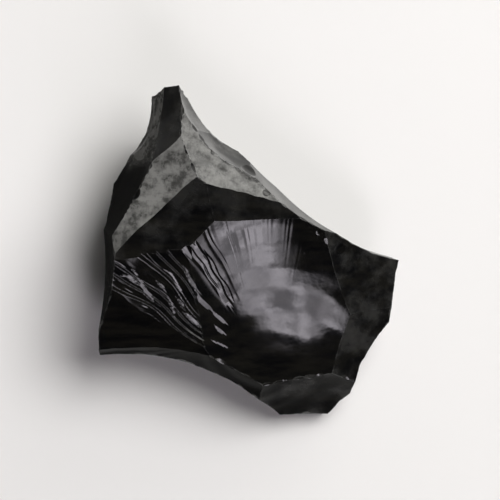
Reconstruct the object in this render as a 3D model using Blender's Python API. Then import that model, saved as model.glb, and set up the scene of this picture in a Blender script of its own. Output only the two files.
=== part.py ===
"""A palm-sized chunk of obsidian, knapped out of one solid block.

The stone is one body.  A raw block is struck again and again, and every flake
that comes off leaves a scar: a shallow hollow that bends like the inside of a
large shell.  Where two scars meet there is a sharp ridge.  Each scar is made
here in the same way, as a Boolean cutter whose underside is that hollow, with
the rings and the torn radial ridges that spread from the place of the blow.

Units are metres, +Z is up, and the stone lies on its flat break at z = 0.
"""
from dataclasses import dataclass
from math import cos, radians, sin

import bpy
import numpy as np

MM = 0.001

# Driving dimensions of the stone
WIDTH = 39.6 * MM          # along X
LENGTH = 43.6 * MM         # along Y, from the broad foot to the tip of the horn
HEIGHT = 20.3 * MM         # along Z, from the flat break to the peak

# The scars' places are measured in mm from the foot of the main ridge.  This
# point, below the middle of the finished stone, becomes the origin.
MIDDLE = (0.5, 0.0, 0.0)

# The raw block that the flakes are struck from, a little larger all round
BLOCK_MARGIN = 3.0 * MM
BLOCK_SIZE = (WIDTH + 2 * BLOCK_MARGIN, LENGTH + 2 * BLOCK_MARGIN, HEIGHT + BLOCK_MARGIN)

# How finely the scars are faceted
RING_STEP = 1.6 * MM       # distance between two rings of points
SPOKE_STEP = 11.0          # degrees between two spokes of points
FLAKE_THICKNESS = 30.0 * MM

GLASS_BLACK = (0.012, 0.012, 0.013, 1.0)
GLASS_ROUGHNESS = 0.08


@dataclass
class Scar:
    """One flake scar.  Its hollow is deepest at `place`, in millimetres."""
    name: str
    place: tuple               # x, y, z in mm
    tilt: float                # degrees between the scar's face and level ground
    facing: float              # compass direction of the face, degrees from +X to +Y
    bend: float                # radius of the hollow in mm
    reach: float = 30.0        # how far the scar runs from its blow, in mm
    blow: tuple = (0.0, 0.0)   # where it was struck, mm downhill and mm across
    ring_height: float = 0.0   # height of the rings in mm
    ring_pitch: float = 3.0    # distance between rings in mm
    steps: int = 0             # number of torn radial steps
    step_height: float = 0.0   # height of each step in mm
    step_start: float = 0.0    # direction of the first step, degrees from downhill
    step_width: float = 6.0    # degrees from step to step
    fineness: float = 1.0      # a larger number makes larger facets


def clear_scene():
    for thing in list(bpy.data.objects):
        bpy.data.objects.remove(thing, do_unlink=True)


def make_glass():
    """Volcanic glass: black, not metallic and very smooth."""
    material = bpy.data.materials.new("obsidian")
    material.use_nodes = True
    shader = material.node_tree.nodes["Principled BSDF"]
    shader.inputs["Base Color"].default_value = GLASS_BLACK
    shader.inputs["Roughness"].default_value = GLASS_ROUGHNESS
    shader.inputs["Metallic"].default_value = 0.0
    return material


def make_block(material):
    """The raw block, standing on z = 0."""
    bpy.ops.mesh.primitive_cube_add(size=1.0, location=(0.0, 0.0, 0.0))
    block = bpy.context.object
    block.name = "obsidian_chunk"
    block.data.name = "obsidian_chunk"
    centre = np.array([0.0, 0.0, BLOCK_SIZE[2] / 2])
    for vertex in block.data.vertices:
        vertex.co = centre + np.array(vertex.co) * BLOCK_SIZE
    block.data.materials.append(material)
    return block


def face_axes(scar):
    """Downhill, across and outward directions of a scar's face."""
    tilt = radians(scar.tilt)
    facing = radians(scar.facing)
    level = np.array([cos(facing), sin(facing), 0.0])
    outward = sin(tilt) * level + np.array([0.0, 0.0, cos(tilt)])
    downhill = cos(tilt) * level - np.array([0.0, 0.0, sin(tilt)])
    across = np.cross(outward, downhill)
    return downhill, across, outward


def spoke_angles(scar):
    """Directions of the spokes of points: even, with a pair at each torn step."""
    step = SPOKE_STEP * scar.fineness
    count = round(360.0 / step)
    angles = [index * 360.0 / count for index in range(count)]
    first = scar.step_start
    last = scar.step_start + scar.steps * scar.step_width
    angles = [angle for angle in angles if not first - 1.0 < angle < last + 1.0]
    for index in range(scar.steps):
        riser = first + index * scar.step_width
        angles += [riser, riser + 0.22 * scar.step_width]
    if scar.steps:
        angles.append(last)
    return np.radians(sorted(angles))


def relief(scar, distance, angle):
    """Height in mm of the rings and torn steps above the smooth hollow."""
    rings = scar.ring_height * np.sin(2 * np.pi * distance / scar.ring_pitch)
    if not scar.steps:
        return rings
    turn = (np.degrees(angle) - scar.step_start) / scar.step_width
    inside = (turn >= 0.0) & (turn <= scar.steps)
    phase = np.where(turn >= scar.steps, 1.0, turn - np.floor(turn))
    tooth = np.where(phase < 0.22, phase / 0.22, (1.0 - phase) / 0.78)
    growth = np.clip(distance / scar.reach * 2.0 - 0.25, 0.0, 1.0)
    return rings + np.where(inside, scar.step_height * tooth * growth, 0.0)


def make_flake(scar):
    """The flake that leaves the scar: a closed cutter with the hollow below."""
    downhill, across, outward = face_axes(scar)
    angles = spoke_angles(scar)
    step = RING_STEP / MM * scar.fineness
    distances = np.linspace(0.0, scar.reach, max(3, round(scar.reach / step)) + 1)[1:]
    angle, distance = np.meshgrid(angles, distances)
    angle = np.append(0.0, angle.ravel())
    distance = np.append(0.0, distance.ravel())
    along = scar.blow[0] + distance * np.cos(angle)
    aside = scar.blow[1] + distance * np.sin(angle)
    room = np.clip(scar.bend ** 2 - along ** 2 - aside ** 2, 0.0, None)
    rise = scar.bend - np.sqrt(room) + relief(scar, distance, angle)

    hollow = np.outer(along, downhill) + np.outer(aside, across) + np.outer(rise, outward)
    hollow = (hollow + np.array(scar.place) - np.array(MIDDLE)) * MM
    back = hollow + outward * FLAKE_THICKNESS
    spokes = len(angles)
    rings = len(distances)
    faces = [(0, 1 + spoke, 1 + (spoke + 1) % spokes) for spoke in range(spokes)]
    for ring in range(rings - 1):
        for spoke in range(spokes):
            near = 1 + ring * spokes + spoke
            near_next = 1 + ring * spokes + (spoke + 1) % spokes
            far = near + spokes
            far_next = near_next + spokes
            faces.append((near, far, far_next))
            faces.append((near, far_next, near_next))
    total = len(hollow)
    lid = [tuple(total + index for index in face) for face in faces]
    faces = [tuple(reversed(face)) for face in faces] + lid
    rim = 1 + (rings - 1) * spokes
    for spoke in range(spokes):
        here = rim + spoke
        following = rim + (spoke + 1) % spokes
        faces.append((here, following, total + following))
        faces.append((here, total + following, total + here))

    mesh = bpy.data.meshes.new("flake_" + scar.name)
    mesh.from_pydata(np.vstack([hollow, back]).tolist(), [], faces)
    mesh.update()
    flake = bpy.data.objects.new("flake_" + scar.name, mesh)
    bpy.context.scene.collection.objects.link(flake)
    flake.hide_render = True
    flake.display_type = "WIRE"
    return flake


def strike(stone, scar):
    """Take one flake off the stone."""
    cut = stone.modifiers.new("scar_" + scar.name, "BOOLEAN")
    cut.operation = "DIFFERENCE"
    cut.solver = "EXACT"
    cut.object = make_flake(scar)


def top_scars():
    """The scars that are seen from above, the largest first."""
    return [
        # The great shell-shaped scar, struck at the foot: rings and a smooth dish
        Scar("shell", (2.7, -4.2, 13.7), 23, -70, 60, reach=34, blow=(15.0, -3.6),
             ring_height=0.035, ring_pitch=3.1, fineness=0.62),
        # Its torn left flank: long steps that run towards the same blow
        Scar("torn_flank", (-10.3, -3.1, 16.5), 25.5, -84, 70, reach=34, blow=(18.5, 12.8),
             steps=8, step_height=0.38, step_start=197.0, step_width=4.6, fineness=0.7),
        # Two flatter scars below the ridge
        Scar("brow", (0.0, 5.8, 18.3), 13, -25, 45, ring_height=0.03),
        Scar("saddle", (-8.4, 6.1, 19.3), 13, -102, 70, reach=26),
        # The dull band of the ridge and the cap of the horn
        Scar("band", (-11.0, 7.9, 18.85), 20, 160, 120, fineness=1.4),
        Scar("cap", (-10.3, 17.4, 16.6), 41, 151, 60),
        # The flat black face at the lower left and the face below it
        Scar("black_flat", (-10.8, -10.1, 13.7), 31, -99, 90, fineness=1.4),
        Scar("south_edge", (-1.6, -16.3, 10.3), 53, -108, 60, fineness=1.2),
        Scar("foot", (8.1, -19.8, 5.5), 52, -80, 60, fineness=1.2),
        # The right-hand corner
        Scar("corner", (15.9, -2.6, 11.8), 26, -30, 50, ring_height=0.02, ring_pitch=2.2),
        Scar("right_side", (16.7, -11.2, 9.0), 31, -45, 50),
        # The steep back of the ridge
        Scar("wedge", (-0.5, 9.2, 17.8), 32.5, 52, 60),
        Scar("back_edge", (-4.65, 14.6, 16.0), 69, 48, 14, reach=12.6, fineness=0.8),
        Scar("back_step", (2.55, 8.8, 16.0), 69, 47, 60),
        Scar("horn_back", (-6.3, 16.3, 16.4), 66, 30, 14, reach=12.6, fineness=0.8),
    ]


def side_scars():
    """The steep scars that give the stone its outline from above."""
    return [
        Scar("left_wall", (-15.9, 6.2, 16.0), 66, 151, 60, fineness=1.3),
        Scar("left_edge", (-17.8, -0.9, 16.3), 74, 184, 40, fineness=1.3),
        # The bite beside the horn
        Scar("notch", (-13.2, 14.7, 12.2), 80, 150, 7.5, reach=7.4, fineness=0.6),
        Scar("horn_under", (-9.8, 19.9, 13.5), 124, 63, 40, fineness=1.3),
        Scar("notch_under", (-14.6, 12.2, 10.0), 112, 150, 24, reach=23, fineness=1.3),
        Scar("back_under", (-4.45, 15.35, 14.5), 106, 48, 14, reach=12.6),
        Scar("back_wall", (4.1, 8.15, 14.5), 106, 50, 40, fineness=1.1),
        Scar("corner_bite", (12.5, 1.64, 14.0), 96, 62.5, 32, reach=22),
        Scar("right_wall", (18.9, -5.8, 8.0), 104, -5, 80, fineness=1.3),
        Scar("right_foot", (16.0, -13.5, 8.2), 104, -27, 20, reach=18),
        Scar("foot_side", (13.1, -19.7, 5.5), 104, -39, 40, fineness=1.3),
        Scar("foot_wall", (8.1, -21.7, 3.0), 100, -90, 60, fineness=1.3),
        Scar("south_wall", (-7.8, -15.1, 10.5), 108, -109, 28, reach=26),
        Scar("west_wall", (-18.4, -3.1, 13.0), 110, 175, 80, fineness=1.3),
    ]


def under_scars():
    """The scars that undercut the stone around its flat break."""
    return [
        Scar("under_left", (-14.2, 2.0, 3.0), 138, 165, 50, fineness=1.4),
        Scar("under_back", (0.0, 11.0, 3.0), 130, 75, 45, fineness=1.4),
        Scar("under_right", (16.6, -3.0, 2.4), 128, 10, 40, fineness=1.4),
        Scar("under_south", (-8.5, -12.8, 3.4), 136, -112, 45, fineness=1.4),
    ]


clear_scene()
chunk = make_block(make_glass())
for flake_scar in side_scars() + top_scars() + under_scars():
    strike(chunk, flake_scar)
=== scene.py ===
from dataclasses import dataclass
from math import cos, pi, radians, sin

import bmesh
import bpy
import numpy as np
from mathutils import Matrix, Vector


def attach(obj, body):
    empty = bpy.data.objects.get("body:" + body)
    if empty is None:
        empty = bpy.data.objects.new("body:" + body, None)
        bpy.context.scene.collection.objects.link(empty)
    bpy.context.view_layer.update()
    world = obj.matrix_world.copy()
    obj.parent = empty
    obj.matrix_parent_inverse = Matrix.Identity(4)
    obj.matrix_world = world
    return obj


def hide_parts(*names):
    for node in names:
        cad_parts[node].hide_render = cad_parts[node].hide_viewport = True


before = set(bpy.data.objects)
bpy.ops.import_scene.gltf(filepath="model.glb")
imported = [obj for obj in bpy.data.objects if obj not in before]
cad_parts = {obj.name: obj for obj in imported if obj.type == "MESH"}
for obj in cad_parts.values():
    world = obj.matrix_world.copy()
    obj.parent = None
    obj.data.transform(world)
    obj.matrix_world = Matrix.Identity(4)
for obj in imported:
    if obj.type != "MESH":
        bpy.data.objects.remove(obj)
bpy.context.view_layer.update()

# ---------------------------------------------------------------------------
# The stone: one piece of black volcanic glass, broken on every side.
# It is made as such a stone is made, by striking flakes off a block.  Each
# flake leaves a scar, a shallow dish with ripples and splinters that spread
# from its blow.  Lengths in the lists of this section are millimetres.
# ---------------------------------------------------------------------------
MM = 0.001
MIDDLE = np.array([0.5, 0.0, 0.0])     # the origin, as the scars' places count it
BLOCK = (46.0, 49.7, 23.3)             # the raw block, standing on the floor
FLAKE_THICKNESS = 30.0
RING_STEP = 0.5                        # between the points of a scar, outwards
OPEN_SPOKES = 2.0                      # degrees between its spokes
CLOSE_SPOKES = 0.24                    # and where splinters are
SLIVER_POINT = 1.2                     # length of a torn strip's pointed end
SLIVER_BACK = 0.35                     # width of its steep back, as a part of its front
NICK_REACH = 1.5
ALL_MISTED = (-40.0, -30.0)            # both south of the stone, so none of it is clear


@dataclass
class Splinters:
    """A sheaf of fine ridges that spread from the blow of a scar."""
    first: float               # direction of its first side, degrees
    last: float
    width: float               # of one ridge, degrees
    height: float
    near: float                # where the ridges start, from the blow
    far: float = 60.0          # where they end
    growth: float = 9.0        # over which they rise
    lean: float = 0.4          # part of the width on the rising side
    calm: float = 0.2          # least height, as a part of the full one
    wander: float = 0.5        # how much they bend, degrees
    broken: float = 0.0        # length of the pieces they break into, if they do
    rounding: float = 1.0      # 1 for waves, 0 for straight-sided steps


@dataclass
class Sliver:
    """A narrow torn strip, pointed at both ends, that lies across a face like a roof."""
    start: tuple               # its ends, seen from above
    end: tuple
    width: float


@dataclass
class Scar:
    """One flake scar and the marks on it."""
    name: str
    place: tuple               # where its dish is deepest
    tilt: float                # degrees between its face and level ground
    facing: float              # degrees from +X towards +Y
    bend: float                # radius of the dish
    reach: float = 30.0        # how far it runs from its blow
    blow: tuple = (0.0, 0.0)   # where it was struck, downhill and across
    ring_height: float = 0.008
    ring_pitch: float = 2.7
    swell: float = 0.05        # slow unevenness
    marks: tuple = ()          # its sheaves of splinters
    slivers: tuple = ()        # groups of torn strips, each group with its slope
    close: tuple = ()          # first and last direction of the finely made part
    mist: float = 0.0          # how matt and grey the face is
    # On the left wall the mist that grows northwards is partly a painted reflection of the pale
    # floor beside the stone
    clearing: tuple = ALL_MISTED       # northings between which the mist sets in


SHELL_MARKS = (
    Splinters(181, 203, 2.4, 0.05, near=11, growth=9, lean=0.5, calm=0.3, wander=1.0),
    Splinters(152, 188, 1.9, 0.012, near=13, growth=10, lean=0.5, calm=0.2),
    Splinters(132, 152, 2.2, 0.03, near=18, growth=4, lean=0.45, calm=0.3, broken=3.0),
)
TORN_MARKS = (
    Splinters(185, 245, 4.1, 0.16, near=2, growth=5, lean=0.18, calm=0.75, wander=1.2,
              rounding=0.1),
    Splinters(185, 245, 1.3, 0.02, near=2, growth=8, lean=0.3, calm=0.0, wander=1.9, broken=1.6,
              rounding=0.5),
)
BROAD_MARKS = (Splinters(0, 360, 5.5, 0.07, near=9, growth=9, calm=0.1, wander=1.5),)

FLANK_SLIVERS = (
    Sliver((-6.8, 1.5), (-1.7, -7.7), 0.75),
    Sliver((-5.7, 0.4), (-1.4, -6.9), 0.50),
    Sliver((-7.6, 0.9), (-3.5, -5.3), 0.40),
    Sliver((-8.4, -2.0), (-6.4, -5.8), 0.50),
    Sliver((-6.5, -5.3), (-4.2, -8.2), 0.65),
    Sliver((-4.6, -7.7), (-2.2, -9.9), 0.50),
    Sliver((-10.8, -2.3), (-8.1, -6.1), 0.45),
    Sliver((-16.6, -3.2), (-14.1, -4.6), 0.60),
    Sliver((-14.6, -3.6), (-12.2, -7.0), 0.60),
    Sliver((-15.1, -2.3), (-14.3, -3.9), 0.30),
    Sliver((-8.4, -8.2), (-5.7, -10.4), 0.50),
    Sliver((-4.3, -9.6), (-2.4, -11.4), 0.50),
    Sliver((-10.5, -5.8), (-9.2, -9.3), 0.35),
    Sliver((-9.2, -6.1), (-8.1, -8.0), 0.35),
    Sliver((-4.9, -11.5), (-1.9, -13.1), 0.35),
    Sliver((-11.6, -3.9), (-10.6, -5.7), 0.40),
)
WEDGE_STEP = (
    Sliver((-5.7, 14.4), (-1.6, 11.0), 0.35),
    Sliver((-2.0, 11.5), (1.9, 8.6), 0.40),
    Sliver((1.5, 8.9), (5.7, 6.5), 0.35),
)

SCARS = [
    Scar("shell", (2.7, -4.2, 13.7), 23, -70, 60, reach=34, blow=(15.0, -3.6),
         ring_height=0.006, ring_pitch=3.1, swell=0.016, marks=SHELL_MARKS,
         slivers=((FLANK_SLIVERS, -0.12),), close=(130, 225)),
    Scar("torn_flank", (-10.3, -3.1, 16.5), 25.5, -84, 70, reach=34, blow=(18.5, 12.8),
         swell=0.02, marks=TORN_MARKS, slivers=((FLANK_SLIVERS, 0.10),), close=(185, 245)),
    Scar("brow", (0.0, 5.8, 18.3), 13, -25, 45, blow=(-9.0, 8.0), mist=0.013),
    Scar("saddle", (-8.4, 6.1, 19.3), 13, -102, 70, reach=26, blow=(-8.0, -6.0), mist=0.018),
    Scar("band", (-11.0, 7.9, 18.85), 20, 160, 120, blow=(-6.0, 15.0), mist=0.83,
         clearing=(-7.0, 9.0)),
    Scar("cap", (-10.3, 17.4, 16.6), 41, 151, 60, blow=(-8.0, 6.0), mist=0.035),
    Scar("black_flat", (-10.8, -10.1, 13.7), 31, -99, 90, blow=(9.0, -14.0)),
    Scar("south_edge", (-1.6, -16.3, 10.3), 53, -108, 60, blow=(-6.0, 4.0), marks=BROAD_MARKS),
    Scar("foot", (8.1, -19.8, 5.5), 52, -80, 60, blow=(-6.0, -5.0), mist=0.05),
    Scar("corner", (15.9, -2.6, 11.8), 26, -30, 50, blow=(-3.0, 12.0), ring_pitch=2.2,
         marks=BROAD_MARKS, mist=0.03),
    Scar("right_side", (16.7, -11.2, 9.0), 31, -45, 50, blow=(8.0, -9.0), mist=0.03),
    Scar("wedge", (-0.5, 9.2, 17.8), 32.5, 52, 60, blow=(-12.0, 4.0),
         ring_height=0.03, ring_pitch=1.9, slivers=((WEDGE_STEP, -0.9),), mist=0.6),
    Scar("back_edge", (-4.65, 14.6, 16.0), 69, 48, 14, reach=12.6, blow=(-9.0, 3.0), mist=0.3),
    Scar("back_step", (2.55, 8.8, 16.0), 69, 47, 60, blow=(-9.0, 3.0), mist=0.08),
    Scar("horn_back", (-6.3, 16.3, 16.4), 66, 30, 14, reach=12.6, blow=(-5.0, 2.0), mist=0.08),
    # The grey mist of the left wall, growing northwards, and of the notch is partly a painted
    # reflection of light from the pale floor on the west
    Scar("left_wall", (-15.9, 6.2, 16.0), 66, 151, 60, blow=(-8.0, 2.0), mist=0.55,
         clearing=(9.5, 13.5)),
    Scar("left_edge", (-17.8, -0.9, 16.3), 74, 184, 40, blow=(-5.0, 8.0)),
    Scar("notch", (-13.2, 14.7, 12.2), 80, 150, 7.5, reach=7.4, blow=(-5.0, 2.0), mist=0.5),
    Scar("horn_under", (-9.8, 19.9, 13.5), 124, 63, 40, blow=(-9.0, 0.0)),
    Scar("notch_under", (-14.6, 12.2, 10.0), 112, 150, 24, reach=23, blow=(-9.0, -4.0)),
    Scar("back_under", (-4.45, 15.35, 14.5), 106, 48, 14, reach=12.6, blow=(-8.0, -2.0)),
    Scar("back_wall", (4.1, 8.15, 14.5), 106, 50, 40, blow=(-8.0, -6.0), marks=BROAD_MARKS),
    Scar("corner_bite", (12.5, 1.64, 14.0), 96, 62.5, 32, reach=22, blow=(-6.0, 2.0)),
    Scar("right_wall", (18.9, -5.8, 8.0), 104, -5, 80, blow=(-7.0, 3.0), marks=BROAD_MARKS),
    Scar("right_foot", (16.0, -13.5, 8.2), 104, -27, 20, reach=18, blow=(-7.0, 0.0)),
    Scar("foot_side", (13.1, -19.7, 5.5), 104, -39, 40, blow=(-6.0, 1.0)),
    Scar("foot_wall", (8.1, -21.7, 3.0), 100, -90, 60, blow=(-4.0, 0.0)),
    Scar("south_wall", (-7.8, -15.1, 10.5), 108, -109, 28, reach=26, blow=(-8.0, 5.0),
         marks=BROAD_MARKS),
    Scar("west_wall", (-18.4, -3.1, 13.0), 110, 175, 80, blow=(-6.0, -7.0), marks=BROAD_MARKS),
    Scar("under_left", (-14.2, 2.0, 3.0), 138, 165, 50, blow=(12.0, 4.0), marks=BROAD_MARKS),
    Scar("under_back", (0.0, 11.0, 3.0), 130, 75, 45, blow=(12.0, -5.0), marks=BROAD_MARKS),
    Scar("under_right", (16.6, -3.0, 2.4), 128, 10, 40, blow=(10.0, 3.0), marks=BROAD_MARKS),
    Scar("under_south", (-8.5, -12.8, 3.4), 136, -112, 45, blow=(10.0, 6.0), marks=BROAD_MARKS),
]
# Small nicks: where each is on the surface, its tilt, facing, bend and depth
NICKS = (
    ((8.1, 2.9, 16.6), 26, -70, 3.0, 0.035),
    ((9.4, 2.3, 16.2), 28, -80, 3.0, 0.035),
    ((7.7, -0.4, 14.9), 27, -82, 3.0, 0.03),
    ((10.6, 1.3, 15.6), 28, -72, 3.0, 0.035),
    ((12.8, 0.4, 14.1), 28, -50, 4.0, 0.05),
)
TORN = 1                               # the torn flank's number: no chips beside it
BREAK_LABEL, BREAK_MIST = -1, 0.2      # the flat break that it rests on
CHIP_LABEL, CHIP_MIST = -2, 0.08       # the small chips along its ridges
CHIP_SEEDS = (3, 8, 12)                # one for each round of chips


def face_axes(scar):
    """Downhill, across and outward directions of a scar's face."""
    tilt = radians(scar.tilt)
    facing = radians(scar.facing)
    level = np.array([cos(facing), sin(facing), 0.0])
    outward = sin(tilt) * level + np.array([0.0, 0.0, cos(tilt)])
    downhill = cos(tilt) * level - np.array([0.0, 0.0, sin(tilt)])
    return downhill, np.cross(outward, downhill), outward


def nick_scar(number, spot, tilt, facing, bend, depth):
    """A nick as a small scar that is deepest under its spot."""
    nick = Scar(f"nick_{number}", spot, tilt, facing, bend, reach=NICK_REACH,
                ring_height=0.0, swell=0.0)
    nick.place = tuple(np.array(spot) - depth * face_axes(nick)[2])
    return nick


def scatter(number, seed):
    """A fixed scattered value from 0 to 1 for each whole number."""
    number_turn, seed_turn, spread = 12.9898, 78.233, 43758.5453
    value = np.sin(number * number_turn + seed * seed_turn) * spread
    return value - np.floor(value)


def smooth(value, low, high):
    """0 below low, 1 above high, and an even rise between them."""
    part = np.clip((value - low) / (high - low), 0.0, 1.0)
    return part * part * (3.0 - 2.0 * part)


def swell_height(scar, along, aside):
    """Slow unevenness of a broken face, from a few crossed waves."""
    waves = 5
    shortest, longest = 7.0, 17.0
    dice = np.random.default_rng(len(scar.name) * 100 + int(abs(scar.facing)))
    height = np.zeros_like(along)
    for _ in range(waves):
        direction = dice.uniform(0.0, 2 * pi)
        pitch = dice.uniform(shortest, longest)
        phase = dice.uniform(0.0, 2 * pi)
        wave = along * cos(direction) + aside * sin(direction)
        height += np.sin(2 * pi * wave / pitch + phase)
    return scar.swell * height / np.sqrt(waves)


def splinter_height(sheaf, distance, degrees):
    """Height of a sheaf of ridges, each with its own strength and start.

    The ridges sway together, and crowd and spread from side to side.
    """
    bend = np.sin(distance * 0.23 + sheaf.first) + 0.4 * np.sin(distance * 0.71)
    turn = (degrees + sheaf.wander * bend - sheaf.first) / sheaf.width
    turn = turn + 0.3 * np.sin(turn * 1.9) + 0.1 * np.sin(distance * 0.5 + turn * 0.3)
    count = (sheaf.last - sheaf.first) / sheaf.width
    ridge = np.floor(turn)
    phase = turn - ridge
    crest = np.where(phase < sheaf.lean, phase / sheaf.lean, (1.0 - phase) / (1.0 - sheaf.lean))
    crest = crest + sheaf.rounding * (smooth(crest, 0.0, 1.0) - crest)
    strength = sheaf.calm + (1.0 - sheaf.calm) * scatter(ridge, sheaf.width)
    start = sheaf.near + 0.8 * sheaf.growth * scatter(ridge, sheaf.width + 1.0)
    rise = smooth(distance, start, start + sheaf.growth)
    fall = 1.0 - smooth(distance, sheaf.far - 4.0, sheaf.far)
    sides = smooth(turn, 0.0, 1.5) * smooth(count - turn, 0.0, 1.5)
    if sheaf.broken:
        piece = distance / sheaf.broken + 7.0 * scatter(ridge, sheaf.height)
        whole = np.floor(piece)
        part = smooth(piece - whole, 0.0, 1.0)
        here, following = (scatter(ridge * 7.0 + whole + step, 3.0) for step in (0.0, 1.0))
        strength = strength * smooth(here * (1.0 - part) + following * part, 0.4, 0.75)
    return sheaf.height * strength * crest * rise * fall * sides


def sliver_form(sliver, slope, east, north):
    """Height of a torn strip, and where it covers the face.

    Its front is an even slope, towards the north-east if the slope is positive, and its
    back is short and steep.
    """
    start = np.array(sliver.start)
    course = np.array(sliver.end) - start
    length = np.hypot(*course)
    course = course / length
    forward = (east - start[0]) * course[0] + (north - start[1]) * course[1]
    beside = (north - start[1]) * course[0] - (east - start[0]) * course[1]
    beside = np.sign(slope) * (beside + 0.1 * np.sin(forward * 1.7 + start[0]))
    taper = min(SLIVER_POINT, length / 2)
    width = sliver.width * smooth(forward, 0.0, taper) * smooth(length - forward, 0.0, taper)
    width = width + 1e-6
    front = np.clip(1.0 - beside / width, 0.0, 1.0)
    back = np.clip(1.0 + beside / (SLIVER_BACK * width), 0.0, 1.0)
    cover = smooth(back, 0.0, 1.0) * smooth(front, 0.0, 0.2)
    return abs(slope) * width * np.where(beside > 0.0, front, back), cover


def scar_height(scar, along, aside):
    """Height of the finished scar above its face plane at a point of the plane."""
    from_blow = along - scar.blow[0]
    beside_blow = aside - scar.blow[1]
    distance = np.hypot(from_blow, beside_blow)
    degrees = np.degrees(np.arctan2(beside_blow, from_blow)) % 360.0
    room = np.clip(scar.bend ** 2 - along ** 2 - aside ** 2, 0.0, None)
    dish = scar.bend - np.sqrt(room)
    height = dish + swell_height(scar, along, aside)
    ripple = 2 * pi * distance / scar.ring_pitch + 0.6 * np.sin(np.radians(degrees) * 3.0)
    height = height + scar.ring_height * np.sin(ripple)
    splinters = np.zeros_like(height)
    for sheaf in scar.marks:
        splinters += splinter_height(sheaf, distance, degrees)
    downhill, across, outward = face_axes(scar)
    east, north = (scar.place[axis] + along * downhill[axis] + aside * across[axis]
                   + dish * outward[axis] for axis in (0, 1))
    for slivers, slope in scar.slivers:
        for sliver in slivers:
            strip, cover = sliver_form(sliver, slope, east, north)
            height = height + strip
            splinters *= 1.0 - cover
    height = height + splinters
    return height


def spoke_angles(scar):
    """Directions of the spokes of points: close together where splinters are."""
    if not scar.close:
        return np.radians(np.arange(0.0, 360.0, OPEN_SPOKES))
    first, last = scar.close
    close = np.arange(first, last, CLOSE_SPOKES)
    wide = np.arange(last + OPEN_SPOKES, first + 360.0 - OPEN_SPOKES, OPEN_SPOKES)
    return np.radians(np.concatenate([close, wide]))


def linked_object(name, points, faces, labels):
    """A mesh object whose faces carry the number of the scar they belong to."""
    mesh = bpy.data.meshes.new(name)
    mesh.from_pydata(points, [], faces)
    layer = mesh.attributes.new("scar", "INT", "FACE")
    layer.data.foreach_set("value", np.full(len(faces), labels, dtype=np.int32))
    made = bpy.data.objects.new(name, mesh)
    bpy.context.scene.collection.objects.link(made)
    return made


def make_flake(scar, number):
    """The flake that leaves the scar: a closed solid with the scar as its underside."""
    downhill, across, outward = face_axes(scar)
    angles = spoke_angles(scar)
    distances = np.arange(RING_STEP, scar.reach + 0.01, RING_STEP)
    angle, distance = np.meshgrid(angles, distances)
    centre = scar.blow if scar.close else (0.0, 0.0)
    along = np.append(centre[0], (centre[0] + distance * np.cos(angle)).ravel())
    aside = np.append(centre[1], (centre[1] + distance * np.sin(angle)).ravel())
    rise = scar_height(scar, along, aside)
    dish = np.outer(along, downhill) + np.outer(aside, across) + np.outer(rise, outward)
    dish += np.array(scar.place) - MIDDLE
    back = dish + outward * FLAKE_THICKNESS

    spokes = len(angles)
    here = np.arange(spokes)
    following = (here + 1) % spokes
    middle = np.zeros(spokes, dtype=int)
    lower = [np.stack([middle, 1 + here, 1 + following], axis=1)]
    for ring in range(len(distances) - 1):
        near = 1 + ring * spokes
        far = near + spokes
        lower.append(np.stack([near + here, far + here, far + following], axis=1))
        lower.append(np.stack([near + here, far + following, near + following], axis=1))
    lower = np.concatenate(lower)
    total = len(dish)
    rim = 1 + (len(distances) - 1) * spokes
    side_a = np.stack([rim + here, rim + following, total + rim + following], axis=1)
    side_b = np.stack([rim + here, total + rim + following, total + rim + here], axis=1)
    faces = np.concatenate([lower[:, ::-1], lower + total, side_a, side_b])
    return linked_object("flake_" + scar.name, np.vstack([dish, back]).tolist(),
                         faces.tolist(), number)


def make_block():
    """The raw block, standing on z = 0."""
    half_x, half_y, top = BLOCK[0] / 2, BLOCK[1] / 2, BLOCK[2]
    corners = [(x, y, z) for z in (0.0, top) for y in (-half_y, half_y) for x in (-half_x, half_x)]
    faces = [(0, 2, 3, 1), (4, 5, 7, 6), (0, 1, 5, 4), (2, 6, 7, 3), (0, 4, 6, 2), (1, 3, 7, 5)]
    return linked_object("block", corners, faces, BREAK_LABEL)


def cut_away(body, cutters):
    """Cut the cutters from the body, and return the body's finished mesh."""
    for cutter in cutters:
        cut = body.modifiers.new(cutter.name, "BOOLEAN")
        cut.operation = "DIFFERENCE"
        cut.solver = "MANIFOLD"
        cut.object = cutter
    graph = bpy.context.evaluated_depsgraph_get()
    mesh = bpy.data.meshes.new_from_object(body.evaluated_get(graph))
    for leftover in cutters + [body]:
        bpy.data.objects.remove(leftover, do_unlink=True)
    return mesh


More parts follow.
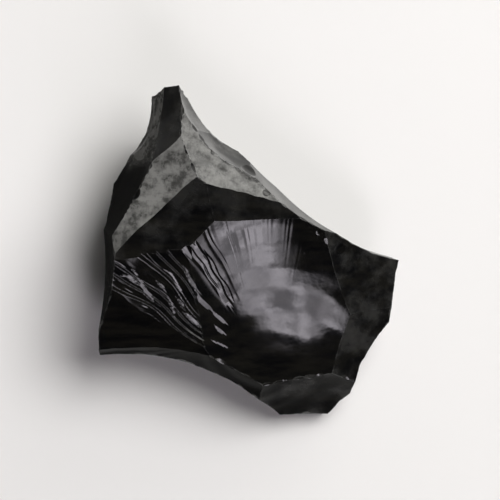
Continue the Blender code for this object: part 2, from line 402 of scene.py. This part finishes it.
def chip_tree():
    """Geometry Nodes: large balls that graze the sharp ridges, as chips to cut.

    Share of the ridge edges bear chips, at least Apart from each other.  Short and Long
    are the chips' half lengths, Hollow and Flat the balls' radii in half lengths.  Sharp
    is the least angle of a ridge, in radians, and Lowest its least height.  Slant is how
    far a chip leans to one side of its ridge.
    """
    tree = bpy.data.node_groups.new("ridge_chips", "GeometryNodeTree")
    tree.interface.new_socket("Stone", in_out="INPUT", socket_type="NodeSocketGeometry")
    for name, default in (("Share", 0.10), ("Apart", 2.0), ("Hollow", 2.2), ("Flat", 5.0),
                          ("Short", 0.15), ("Long", 1.0), ("Sharp", 0.75), ("Lowest", 1.0),
                          ("Slant", 0.65)):
        socket = tree.interface.new_socket(name, in_out="INPUT", socket_type="NodeSocketFloat")
        socket.default_value = default
    tree.interface.new_socket("Seed", in_out="INPUT", socket_type="NodeSocketInt")
    tree.interface.new_socket("Finish", in_out="INPUT", socket_type="NodeSocketMaterial")
    tree.interface.new_socket("Chips", in_out="OUTPUT", socket_type="NodeSocketGeometry")
    nodes, link = tree.nodes, tree.links.new
    given = nodes.new("NodeGroupInput").outputs

    def node(kind, *inputs, **settings):
        """A node with its settings, and its inputs in order, where given."""
        made = nodes.new(kind)
        for name, value in settings.items():
            setattr(made, name, value)
        for socket, value in zip(made.inputs, inputs):
            if isinstance(value, bpy.types.NodeSocket):
                link(value, socket)
            elif value is not None:
                socket.default_value = value
        return made

    def math(operation, *inputs):
        """A calculation with numbers."""
        return node("ShaderNodeMath", *inputs, operation=operation).outputs[0]

    def vector(operation, *inputs):
        """A calculation with vectors."""
        return node("ShaderNodeVectorMath", *inputs, operation=operation).outputs[0]

    def dice(low, high, offset):
        """An even random value for each ridge edge."""
        made = node("FunctionNodeRandomValue", data_type="FLOAT")
        made.inputs[2].default_value = low
        made.inputs[3].default_value = high
        link(math("ADD", given["Seed"], offset), made.inputs["Seed"])
        return made.outputs[1]

    def between(low, high, share):
        """The value at a share of the way from low to high."""
        return math("ADD", low, math("MULTIPLY", math("SUBTRACT", high, low), share))

    angle = node("GeometryNodeInputMeshEdgeAngle").outputs["Unsigned Angle"]
    height = node("ShaderNodeSeparateXYZ", node("GeometryNodeInputPosition").outputs[0])
    chosen = math("MULTIPLY", math("GREATER_THAN", angle, given["Sharp"]),
                  math("GREATER_THAN", height.outputs["Z"], given["Lowest"]))
    chosen = math("MULTIPLY", chosen, math("LESS_THAN", dice(0.0, 1.0, 1.0), given["Share"]))

    edge = node("GeometryNodeInputIndex").outputs[0]
    normal = node("GeometryNodeInputNormal").outputs[0]
    scar_number = node("GeometryNodeInputNamedAttribute", "scar", data_type="INT")

    def beside(side, value, kind):
        """What the face on one side of the edge has for a value."""
        corner = node("GeometryNodeCornersOfEdge", edge, 0.0, side).outputs["Corner Index"]
        face = node("GeometryNodeFaceOfCorner", corner).outputs["Face Index"]
        read = node("GeometryNodeSampleIndex", given["Stone"], data_type=kind, domain="FACE")
        link(value, read.inputs["Value"])
        link(face, read.inputs["Index"])
        return read.outputs["Value"]

    first, second = (beside(side, scar_number.outputs["Attribute"], "INT") for side in (0, 1))
    two_scars = math("GREATER_THAN", math("ABSOLUTE", math("SUBTRACT", first, second)), 0.5)
    no_chip = math("GREATER_THAN", math("MINIMUM", first, second), CHIP_LABEL + 0.5)
    no_nick = math("LESS_THAN", math("MAXIMUM", first, second), len(SCARS) - 0.5)
    beside_torn = math("MULTIPLY", math("SUBTRACT", first, TORN), math("SUBTRACT", second, TORN))
    not_torn = math("GREATER_THAN", math("ABSOLUTE", beside_torn), 0.5)
    for condition in (two_scars, no_chip, no_nick, not_torn):
        chosen = math("MULTIPLY", chosen, condition)

    def scaled(direction, factor):
        """A direction times a number."""
        made = node("ShaderNodeVectorMath", direction, operation="SCALE")
        link(factor, made.inputs["Scale"])
        return made.outputs[0]

    share = math("ADD", 0.5, math("MULTIPLY", math("MULTIPLY", given["Slant"], 0.5),
                                  dice(-1.0, 1.0, 4.0)))
    outward = vector("NORMALIZE", vector(
        "ADD", scaled(beside(0, normal, "FLOAT_VECTOR"), share),
        scaled(beside(1, normal, "FLOAT_VECTOR"), math("SUBTRACT", 1.0, share))))
    mostly_short = math("POWER", dice(0.0, 1.0, 3.0), 1.6)
    length = between(given["Short"], given["Long"], mostly_short)
    curve = between(given["Hollow"], given["Flat"], dice(0.0, 1.0, 2.0))
    radius = math("MULTIPLY", length, curve)
    depth = math("DIVIDE", math("MULTIPLY", length, length), math("MULTIPLY", radius, 2.0))

    spot = node("GeometryNodeInputPosition").outputs[0]
    chips = (("VECTOR", "Outward", outward), ("FLOAT", "Radius", radius),
             ("FLOAT", "Depth", depth), ("VECTOR", "Spot", spot))

    def captured(geometry, domain, values):
        """The geometry with the values kept on it."""
        keep = node("GeometryNodeCaptureAttribute", geometry, domain=domain)
        for kind, name, value in values:
            keep.capture_items.new(kind, name)
            link(value, keep.inputs[name])
        return keep.outputs

    marked = captured(given["Stone"], "EDGE", chips)
    ridges = node("GeometryNodeSeparateGeometry", marked["Geometry"], chosen, domain="EDGE")
    ridges = ridges.outputs["Selection"]
    points = node("GeometryNodeMeshToPoints", ridges, mode="EDGES")
    spaced = node("GeometryNodeMergeByDistance", points.outputs["Points"])
    link(given["Apart"], spaced.inputs["Distance"])

    nearest = node("GeometryNodeSampleNearest", ridges, domain="EDGE").outputs["Index"]
    found = []
    for kind, name, _ in chips:
        data_type = {"VECTOR": "FLOAT_VECTOR"}.get(kind, kind)
        read = node("GeometryNodeSampleIndex", ridges, data_type=data_type, domain="EDGE")
        link(marked[name], read.inputs["Value"])
        link(nearest, read.inputs["Index"])
        found.append((kind, name, read.outputs["Value"]))
    chip = captured(spaced.outputs["Geometry"], "POINT", found)
    lift = scaled(chip["Outward"], math("SUBTRACT", chip["Radius"], chip["Depth"]))
    moved = node("GeometryNodeSetPosition", chip["Geometry"], None,
                 vector("ADD", chip["Spot"], lift))
    centre = node("GeometryNodeCaptureAttribute", moved.outputs["Geometry"], domain="POINT")
    centre.capture_items.new("VECTOR", "Centre")
    link(node("GeometryNodeInputPosition").outputs[0], centre.inputs["Centre"])

    ball_radius, ball_fineness = 1.0, 4
    ball = node("GeometryNodeMeshIcoSphere", ball_radius, ball_fineness)
    balls = node("GeometryNodeInstanceOnPoints", centre.outputs["Geometry"])
    link(ball.outputs["Mesh"], balls.inputs["Instance"])
    link(chip["Radius"], balls.inputs["Scale"])
    real = node("GeometryNodeRealizeInstances", balls.outputs["Instances"])
    heart = node("GeometryNodeStoreNamedAttribute", real.outputs[0], None, "centre",
                 centre.outputs["Centre"], data_type="FLOAT_VECTOR", domain="FACE")
    label = node("GeometryNodeStoreNamedAttribute", heart.outputs[0], None, "scar",
                 CHIP_LABEL, data_type="INT", domain="FACE")
    finish = node("GeometryNodeSetMaterial", label.outputs[0], None, given["Finish"])
    node("NodeGroupOutput", finish.outputs[0])
    return tree


def make_chips(stone_mesh, tree, seed, material):
    """The chips of one seed along the ridges of the mesh, as one cutter."""
    cutter = bpy.data.objects.new("chips", stone_mesh.copy())
    bpy.context.scene.collection.objects.link(cutter)
    modifier = cutter.modifiers.new("chips", "NODES")
    modifier.node_group = tree
    sockets = {item.name: item.identifier for item in tree.interface.items_tree}
    modifier[sockets["Seed"]] = seed
    modifier[sockets["Finish"]] = material
    graph = bpy.context.evaluated_depsgraph_get()
    chips = bpy.data.meshes.new_from_object(cutter.evaluated_get(graph))
    cutter.modifiers.clear()
    cutter.data = chips
    return cutter


def drop_crumbs(mesh):
    """Keep the largest connected piece, and drop the crumbs that the cuts have freed."""
    shape = bmesh.new()
    shape.from_mesh(mesh)
    waiting = set(shape.verts)
    pieces = []
    while waiting:
        piece = [waiting.pop()]
        for vertex in piece:
            for ridge in vertex.link_edges:
                neighbour = ridge.other_vert(vertex)
                if neighbour in waiting:
                    waiting.remove(neighbour)
                    piece.append(neighbour)
        pieces.append(piece)
    largest = max(pieces, key=len)
    for piece in pieces:
        if piece is not largest:
            bmesh.ops.delete(shape, geom=piece, context="VERTS")
    shape.to_mesh(mesh)
    shape.free()


def corner_values(mesh):
    """Each corner's point, drawn slightly to its face's middle, with its face."""
    vertex = np.empty(len(mesh.loops), dtype=np.int32)
    mesh.loops.foreach_get("vertex_index", vertex)
    points = np.empty(len(mesh.vertices) * 3)
    mesh.vertices.foreach_get("co", points)
    sides = np.empty(len(mesh.polygons), dtype=np.int32)
    mesh.polygons.foreach_get("loop_total", sides)
    centres = np.empty(len(mesh.polygons) * 3)
    mesh.polygons.foreach_get("center", centres)
    face = np.repeat(np.arange(len(sides)), sides)
    inset = 0.15
    points = points.reshape(-1, 3)[vertex]
    return points + inset * (centres.reshape(-1, 3)[face] - points), face


def gloss_normals(mesh, scars):
    """Normals worked out from each scar's own form, so that its gloss is even."""
    points, face = corner_values(mesh)
    flat = np.empty(len(mesh.polygons) * 3)
    mesh.polygons.foreach_get("normal", flat)
    normals = flat.reshape(-1, 3)[face]
    label = np.empty(len(mesh.polygons), dtype=np.int32)
    mesh.attributes["scar"].data.foreach_get("value", label)
    step = 0.03
    for number, scar in enumerate(scars):
        mine = label[face] == number
        downhill, across, outward = face_axes(scar)
        local = points[mine] - (np.array(scar.place) - MIDDLE)
        along = local @ downhill
        aside = local @ across
        slope = scar_height(scar, along + step, aside) - scar_height(scar, along - step, aside)
        cross = scar_height(scar, along, aside + step) - scar_height(scar, along, aside - step)
        steep = (np.outer(slope, downhill) + np.outer(cross, across)) / (2 * step)
        normals[mine] = outward - steep
    chip = label[face] == CHIP_LABEL
    centre = np.empty(len(mesh.polygons) * 3)
    mesh.attributes["centre"].data.foreach_get("vector", centre)
    normals[chip] = centre.reshape(-1, 3)[face][chip] - points[chip]
    return normals / np.linalg.norm(normals, axis=1, keepdims=True), label


def corner_mist(mesh, scars, label):
    """How misted each corner of the mesh is: by its scar, and clearing southwards.

    The chips and the flat break come last, where their labels -2 and -1 find them.
    """
    points, face = corner_values(mesh)
    mist = np.array([scar.mist for scar in scars] + [CHIP_MIST, BREAK_MIST])
    first, last = np.array([scar.clearing for scar in scars] + [ALL_MISTED] * 2).T
    kind = label[face]
    return mist[kind] * smooth(points[:, 1], first[kind], last[kind])


# Colours of the glass: black, its brownish flow bands, its mist, and the light grey of its ridges,
# which is partly wear and partly a painted highlight
BLACK = (0.0025, 0.0025, 0.0028)
FLOW_BROWN = (0.0075, 0.0070, 0.0058)
MIST_GREY = (0.20, 0.198, 0.187)
# Light grey for the ridges: partly wear, partly a painted highlight of the glints along the edges
WEAR_AND_HIGHLIGHT_GREY = (0.34, 0.34, 0.33)
WEAR_AND_HIGHLIGHT_WIDTH = 0.00022                   # of a ridge, in metres
GRAIN_DEPTH = 0.00006                  # of the bump, in metres
GLASS_IOR = 1.5


def obsidian_glass():
    """Black glass: grey mist on some faces, faint flow bands, and light grey ridges that are
    partly wear and partly a painted highlight.
    """
    material = bpy.data.materials.new("obsidian_glass")
    material.use_nodes = True
    nodes, link = material.node_tree.nodes, material.node_tree.links.new
    shader = nodes["Principled BSDF"]
    place = nodes.new("ShaderNodeTexCoord").outputs["Object"]

    def noise(scale, detail, rough, stretch=(1.0, 1.0, 1.0), turn=(0.0, 0.0, 0.0)):
        """Noise that is fixed to the stone, from 0 to 1."""
        mapping = nodes.new("ShaderNodeMapping")
        mapping.inputs["Scale"].default_value = stretch
        mapping.inputs["Rotation"].default_value = turn
        made = nodes.new("ShaderNodeTexNoise")
        made.inputs["Scale"].default_value = scale
        made.inputs["Detail"].default_value = detail
        made.inputs["Roughness"].default_value = rough
        link(place, mapping.inputs["Vector"])
        link(mapping.outputs["Vector"], made.inputs["Vector"])
        return made.outputs["Fac"]

    def ramp(value, start, end, low, high):
        """A smooth change from low to high as the value goes from start to end."""
        made = nodes.new("ShaderNodeMapRange")
        made.interpolation_type = "SMOOTHSTEP"
        for name, number in (("From Min", start), ("From Max", end),
                             ("To Min", low), ("To Max", high)):
            made.inputs[name].default_value = number
        link(value, made.inputs["Value"])
        return made.outputs["Result"]

    def math(operation, first, second, clamp=False):
        """A calculation with two values, each a number or a socket."""
        made = nodes.new("ShaderNodeMath")
        made.operation = operation
        made.use_clamp = clamp
        for socket, value in zip(made.inputs, (first, second)):
            if isinstance(value, float):
                socket.default_value = value
            else:
                link(value, socket)
        return made.outputs["Value"]

    def blend(factor, first, second):
        """A colour between two others, each three numbers or a socket."""
        made = nodes.new("ShaderNodeMix")
        made.data_type = "RGBA"
        link(factor, made.inputs["Factor"])
        for name, value in (("A", first), ("B", second)):
            if isinstance(value, tuple):
                made.inputs[name].default_value = (*value, 1.0)
            else:
                link(value, made.inputs[name])
        return made.outputs["Result"]

    # Thick mist is patchy and finely speckled, and thin mist lies in smudges
    mist_attribute = nodes.new("ShaderNodeAttribute")
    mist_attribute.attribute_name = "mist"
    misted = mist_attribute.outputs["Fac"]
    patches = ramp(noise(500.0, 5.0, 0.65), 0.32, 0.68, 0.3, 1.5)
    speckles = ramp(noise(2200.0, 4.0, 0.7), 0.25, 0.75, 0.65, 1.3)
    smudges = ramp(noise(230.0, 5.0, 0.6), 0.42, 0.68, 0.1, 3.6)
    thin_mist = math("MULTIPLY", misted, smudges)
    thick_mist = math("MULTIPLY", misted, math("MULTIPLY", patches, speckles))
    cover = ramp(misted, 0.1, 0.4, 0.0, 1.0)
    mist = math("ADD", math("MULTIPLY", thick_mist, cover),
                math("MULTIPLY", thin_mist, math("SUBTRACT", 1.0, cover)), clamp=True)

    # A ridge is where a rounded normal leaves the true one. Misted ridges turn light grey: partly
    # wear, partly a painted highlight that stands in for the glints along the edges
    bevel = nodes.new("ShaderNodeBevel")
    bevel.samples = 6
    bevel.inputs["Radius"].default_value = WEAR_AND_HIGHLIGHT_WIDTH
    geometry = nodes.new("ShaderNodeNewGeometry")
    match = nodes.new("ShaderNodeVectorMath")
    match.operation = "DOT_PRODUCT"
    link(bevel.outputs["Normal"], match.inputs[0])
    link(geometry.outputs["Normal"], match.inputs[1])
    ridge = ramp(match.outputs["Value"], 0.997, 0.93, 0.0, 1.0)
    wear_and_highlight = math("MULTIPLY", ridge, ramp(noise(900.0, 4.0, 0.6), 0.42, 0.62, 0.1, 1.0))
    wear_and_highlight = math("MULTIPLY", wear_and_highlight, math("ADD", misted, 0.2), clamp=True)

    # Flow bands run through the black, under the mist and under the light grey ridges of wear and
    # painted highlight
    flow = ramp(noise(180.0, 6.0, 0.6, stretch=(1.0, 4.0, 5.0), turn=(0.4, 0.2, 0.5)),
                0.35, 0.7, 0.0, 1.0)
    banded = blend(flow, BLACK, FLOW_BROWN)
    grey = blend(mist, banded, MIST_GREY)
    # The ridges' light grey goes into the colour here: partly wear, partly a painted highlight
    colour = blend(wear_and_highlight, grey, WEAR_AND_HIGHLIGHT_GREY)
    link(colour, shader.inputs["Base Color"])

    # The broken faces are polished, and dull where they are misted or worn
    polish = ramp(noise(260.0, 4.0, 0.6), 0.3, 0.7, 0.045, 0.10)
    rough = math("ADD", polish, math("MULTIPLY", mist, 0.45))
    rough = math("ADD", rough, math("MULTIPLY", wear_and_highlight, 0.22))
    link(rough, shader.inputs["Roughness"])

    grain = math("MULTIPLY", noise(5200.0, 3.0, 0.6), mist)
    waviness = math("MULTIPLY", noise(650.0, 2.0, 0.5), 0.6)
    bump = nodes.new("ShaderNodeBump")
    bump.inputs["Strength"].default_value = 0.25
    bump.inputs["Distance"].default_value = GRAIN_DEPTH
    link(math("ADD", grain, waviness), bump.inputs["Height"])
    link(bump.outputs["Normal"], shader.inputs["Normal"])
    shader.inputs["IOR"].default_value = GLASS_IOR
    return material


glass = obsidian_glass()
scars = SCARS + [nick_scar(number, *nick) for number, nick in enumerate(NICKS)]
flakes = [make_flake(scar, number) for number, scar in enumerate(scars)]
stone_mesh = cut_away(make_block(), flakes)
ridge_chips = chip_tree()
for chip_seed in CHIP_SEEDS:
    body = bpy.data.objects.new("struck_stone", stone_mesh)
    bpy.context.scene.collection.objects.link(body)
    stone_mesh = cut_away(body, [make_chips(stone_mesh, ridge_chips, chip_seed, glass)])
drop_crumbs(stone_mesh)
corner_normals, scar_labels = gloss_normals(stone_mesh, scars)
stone_mesh.shade_smooth()
stone_mesh.normals_split_custom_set(corner_normals.tolist())
mist_values = corner_mist(stone_mesh, scars, scar_labels).astype(np.float32)
stone_mesh.attributes.new("mist", "FLOAT", "CORNER").data.foreach_set("value", mist_values)
for corner in stone_mesh.vertices:
    corner.co = corner.co * MM
stone_mesh.materials.clear()
stone_mesh.materials.append(glass)
stone = bpy.data.objects.new("obsidian_stone", stone_mesh)
bpy.context.scene.collection.objects.link(stone)
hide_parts("obsidian_chunk")
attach(stone, "root")

# ---------------------------------------------------------------------------
# The floor: a plain pale table top, a tenth of a millimetre below the stone.
# It is matt, and the stone mirrors the room beyond it instead.
# ---------------------------------------------------------------------------
FLOOR_HALF = 1.5
FLOOR_TOP = -0.0001
FLOOR_COLOUR = (0.80, 0.785, 0.765, 1.0)
floor_corners = [(east * FLOOR_HALF, north * FLOOR_HALF, FLOOR_TOP)
                 for east, north in ((-1, -1), (1, -1), (1, 1), (-1, 1))]
floor_mesh = bpy.data.meshes.new("floor")
floor_mesh.from_pydata(floor_corners, [], [(0, 1, 2, 3)])
floor = bpy.data.objects.new("floor", floor_mesh)
bpy.context.scene.collection.objects.link(floor)
floor_material = bpy.data.materials.new("pale_floor")
floor_material.use_nodes = True
floor_shader = floor_material.node_tree.nodes["Principled BSDF"]
floor_shader.inputs["Base Color"].default_value = FLOOR_COLOUR
floor_shader.inputs["Roughness"].default_value = 0.8
floor_mesh.materials.append(floor_material)
floor.visible_glossy = False

# ---------------------------------------------------------------------------
# The light: a room that is dark overhead and pale towards the back, with far
# walls round a pale table top, two soft windows, and a broad lamp for the
# floor that leaves no reflection.  Distances here are metres.
# ---------------------------------------------------------------------------
BACK = radians(55)                     # directions from +X towards +Y
WEST = radians(165)
ROOM_TINT = (1.0, 0.985, 0.96)
SOUTH_TINT = (1.0, 0.95, 1.03)
BACK_TINT = (1.0, 0.99, 0.95)
BACK_STRENGTH = 2.6
LAMP_PLACE = Vector((0.28, 0.22, 0.55))
LAMP_SIZE = 0.5
LAMP_WATTS = 5.0

world = bpy.data.worlds.new("studio")
bpy.context.scene.world = world
world.use_nodes = True
sky = world.node_tree
sky.nodes.clear()
sky_output = sky.nodes.new("ShaderNodeOutputWorld")
sky_direction = sky.nodes.new("ShaderNodeTexCoord")


def sky_math(operation, first, second):
    """A calculation with two values, each a number or another node's output."""
    node = sky.nodes.new("ShaderNodeMath")
    node.operation = operation
    for socket, value in zip(node.inputs, (first, second)):
        if isinstance(value, (int, float)):
            socket.default_value = value
        else:
            sky.links.new(value, socket)
    return node.outputs["Value"]


def along_direction(axis):
    """How far a view direction runs along an axis."""
    node = sky.nodes.new("ShaderNodeVectorMath")
    node.operation = "DOT_PRODUCT"
    sky.links.new(sky_direction.outputs["Generated"], node.inputs[0])
    node.inputs[1].default_value = tuple(axis)
    return node.outputs["Value"]


def fade(value, start, end, low, high):
    """A smooth change from low to high as value goes from start to end."""
    node = sky.nodes.new("ShaderNodeMapRange")
    node.interpolation_type = "SMOOTHSTEP"
    node.inputs["From Min"].default_value = start
    node.inputs["From Max"].default_value = end
    node.inputs["To Min"].default_value = low
    node.inputs["To Max"].default_value = high
    sky.links.new(value, node.inputs["Value"])
    return node.outputs["Result"]


def panel_axes(from_zenith, azimuth):
    """Centre, right and up directions of a bright panel on the sky."""
    tilt, turn = radians(from_zenith), radians(azimuth)
    centre = Vector((sin(tilt) * cos(turn), sin(tilt) * sin(turn), cos(tilt)))
    right = Vector((-sin(turn), cos(turn), 0.0))
    return centre, right, centre.cross(right)


def panel_place(from_zenith, azimuth, lean):
    """Where a view direction falls on a panel, and 1 in front of it, 0 behind."""
    centre, right, up = panel_axes(from_zenith, azimuth)
    depth = sky_math("MAXIMUM", along_direction(centre), 0.01)
    height = sky_math("DIVIDE", along_direction(up), depth)
    width = sky_math("DIVIDE", along_direction(right), depth)
    width = sky_math("ADD", width, sky_math("MULTIPLY", height, lean))
    return width, height, fade(along_direction(centre), 0.0, 0.2, 0.0, 1.0)


def window(from_zenith, azimuth, half_width, half_height, lean, soft):
    """A soft four-sided panel of sky.  Angles are degrees, lean skews its sides."""
    width, height, front = panel_place(from_zenith, azimuth, lean)
    wide, high, edge = radians(half_width), radians(half_height), radians(soft)
    across = fade(sky_math("ABSOLUTE", width, 0.0), wide - edge, wide + edge, 1.0, 0.0)
    upward = fade(sky_math("ABSOLUTE", height, 0.0), high - edge, high + edge, 1.0, 0.0)
    return sky_math("MULTIPLY", sky_math("MULTIPLY", across, upward), front)


def round_panel(from_zenith, azimuth, half_width, half_height, lean, soft):
    """A soft oval panel of sky.  Soft is the part of its size over which it fades."""
    width, height, front = panel_place(from_zenith, azimuth, lean)
    width = sky_math("DIVIDE", width, radians(half_width))
    height = sky_math("DIVIDE", height, radians(half_height))
    square = sky_math("ADD", sky_math("MULTIPLY", width, width),
                      sky_math("MULTIPLY", height, height))
    oval = fade(sky_math("SQRT", square, 0.0), 1.0 - soft, 1.0 + soft, 1.0, 0.0)
    return sky_math("MULTIPLY", oval, front)


def tinted(value, colour):
    """A light's strength times its colour."""
    node = sky.nodes.new("ShaderNodeVectorMath")
    node.operation = "SCALE"
    node.inputs[0].default_value = colour
    sky.links.new(value, node.inputs["Scale"])
    return node.outputs["Vector"]


def added(first, second):
    """The sum of two lights."""
    node = sky.nodes.new("ShaderNodeVectorMath")
    node.operation = "ADD"
    sky.links.new(first, node.inputs[0])
    sky.links.new(second, node.inputs[1])
    return node.outputs["Vector"]


def uneven(scale, detail, low, high):
    """Slow changes of brightness over the sky, from low to high."""
    noise = sky.nodes.new("ShaderNodeTexNoise")
    noise.inputs["Scale"].default_value = scale
    noise.inputs["Detail"].default_value = detail
    noise.inputs["Roughness"].default_value = 0.6
    sky.links.new(sky_direction.outputs["Generated"], noise.inputs["Vector"])
    return fade(noise.outputs["Fac"], 0.35, 0.65, low, high)


height_above = along_direction((0.0, 0.0, 1.0))
towards_back = along_direction((cos(BACK), sin(BACK), 0.0))
towards_west = along_direction((cos(WEST), sin(WEST), 0.0))
pale_side = fade(towards_back, -0.1, 0.7, 0.02, 0.8)
overhead = fade(height_above, 0.05, 0.45, 1.0, 0.03)
away_from_west = fade(towards_west, 0.1, 0.45, 1.0, 0.02)
table_top = sky_math("MULTIPLY", fade(height_above, -0.15, -0.6, 0.0, 0.55), away_from_west)
far_walls = sky_math("MULTIPLY", fade(height_above, -0.04, 0.06, 0.0, 1.0),
                     fade(height_above, 0.12, 0.3, 0.2, 0.0))
surroundings = sky_math("MULTIPLY", sky_math("ADD", table_top, far_walls),
                        uneven(2.6, 3.0, 0.4, 1.5))
room = sky_math("ADD", sky_math("MULTIPLY", pale_side, overhead), surroundings)
room_light = tinted(room, ROOM_TINT)

# The south window is a tall pane over a round one, with a dark round thing before
# it, and thin clouds behind
pane = window(from_zenith=58.5, azimuth=-68.4, half_width=7.5, half_height=9.0,
              lean=0.1, soft=3.0)
round_pane = round_panel(from_zenith=39.5, azimuth=-74.0, half_width=9.5, half_height=12.2,
                         lean=0.5, soft=0.13)
thing = round_panel(from_zenith=26.0, azimuth=-92.0, half_width=6.5, half_height=5.5,
                    lean=0.0, soft=0.2)
south = sky_math("MULTIPLY", sky_math("MAXIMUM", pane, round_pane),
                 sky_math("SUBTRACT", 1.0, thing))
south = sky_math("MULTIPLY", south, uneven(11.0, 4.0, 2.0, 6.9))
south_light = tinted(south, SOUTH_TINT)

back = window(from_zenith=69.0, azimuth=56.0, half_width=22.0, half_height=12.0,
              lean=0.0, soft=5.0)
back_light = tinted(sky_math("MULTIPLY", back, BACK_STRENGTH), BACK_TINT)
sky_light = sky.nodes.new("ShaderNodeBackground")
sky.links.new(added(added(room_light, south_light), back_light), sky_light.inputs["Color"])
sky.links.new(sky_light.outputs["Background"], sky_output.inputs["Surface"])

lamp_data = bpy.data.lights.new("floor_lamp", "AREA")
lamp_data.shape = "DISK"
lamp_data.size = LAMP_SIZE
lamp_data.energy = LAMP_WATTS
lamp = bpy.data.objects.new("floor_lamp", lamp_data)
bpy.context.scene.collection.objects.link(lamp)
lamp.location = LAMP_PLACE
lamp.rotation_euler = (-LAMP_PLACE).to_track_quat("-Z", "Y").to_euler()
lamp.visible_glossy = False

# ---------------------------------------------------------------------------
# The camera: straight above the stone, with the horn at the top.  It is far
# away and has a long lens, which shows 66 mm across.
# ---------------------------------------------------------------------------
CAMERA_HEIGHT = 1.5                    # metres
LENS = 812.5                           # millimetres, as the sensor
SENSOR = 36.0
camera_data = bpy.data.cameras.new("camera")
camera = bpy.data.objects.new("camera", camera_data)
bpy.context.scene.collection.objects.link(camera)
camera.location = (0.0, 0.0, CAMERA_HEIGHT)
camera_data.lens = LENS
camera_data.sensor_width = SENSOR
bpy.context.scene.camera = camera
bpy.context.scene.view_settings.view_transform = "Standard"
